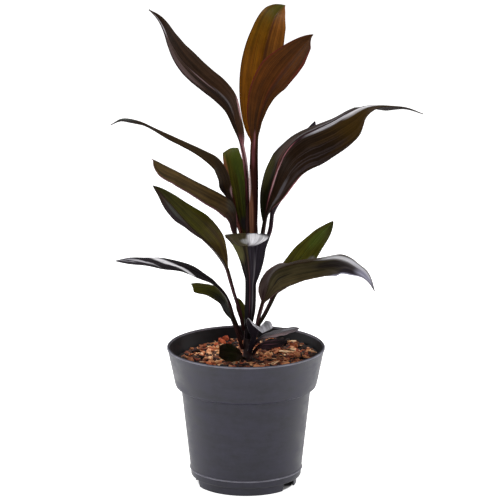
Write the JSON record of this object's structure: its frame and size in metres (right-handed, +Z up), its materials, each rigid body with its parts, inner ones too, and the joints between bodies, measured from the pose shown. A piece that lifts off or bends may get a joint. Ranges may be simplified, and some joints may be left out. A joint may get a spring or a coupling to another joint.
{
  "type": "potted cordyline plant",
  "caption": "Young cordyline with dark bronze and olive strap-shaped leaves on one upright cane, standing in bark mix in a tapered black nursery pot with a stepped collar.",
  "frame": {"origin": "middle of the bounding box's underside, on the surface that the pot stands on; the pot's own axis is beside it, at x = -22.0 mm, y = 10.5 mm", "axes": "+Z up along the pot's axis, +X to the right and -Y towards the camera as in the picture"},
  "size_m": [0.33, 0.191, 0.5192],
  "materials": {
    "pot_plastic": "semi-matte injection-moulded polypropylene, charcoal",
    "bark_mix": "loose bark chips and coir, dull red-brown",
    "cane_skin": "dry, ringed cane skin",
    "leaf_bronze": "satin leaf, olive-bronze with reddish margins",
    "leaf_dark": "satin leaf, purple-black with a grey sheen",
    "leaf_olive": "satin leaf, olive green with dark margins"
  },
  "bodies": {
    "root": {"nursery_pot": "pot_plastic", "potting_mix": "bark_mix", "cane": "cane_skin", "leaf_crown_back": "leaf_bronze", "leaf_crown_front": "leaf_bronze", "leaf_upper_left": "leaf_dark", "leaf_left_long": "leaf_bronze", "leaf_left_mid": "leaf_bronze", "leaf_left_green": "leaf_olive", "leaf_left_low": "leaf_dark", "leaf_left_cut": "leaf_olive", "leaf_small_back": "leaf_olive", "leaf_back": "leaf_olive", "leaf_right_large": "leaf_dark", "leaf_right_behind": "leaf_dark", "leaf_front": "leaf_dark", "leaf_right_green": "leaf_olive", "leaf_right_arch": "leaf_bronze", "leaf_low_cup": "leaf_dark", "leaf_low_right_back": "leaf_dark", "leaf_low_right_front": "leaf_dark", "leaf_low_left_stub": "leaf_dark"}
  },
  "joints": []
}
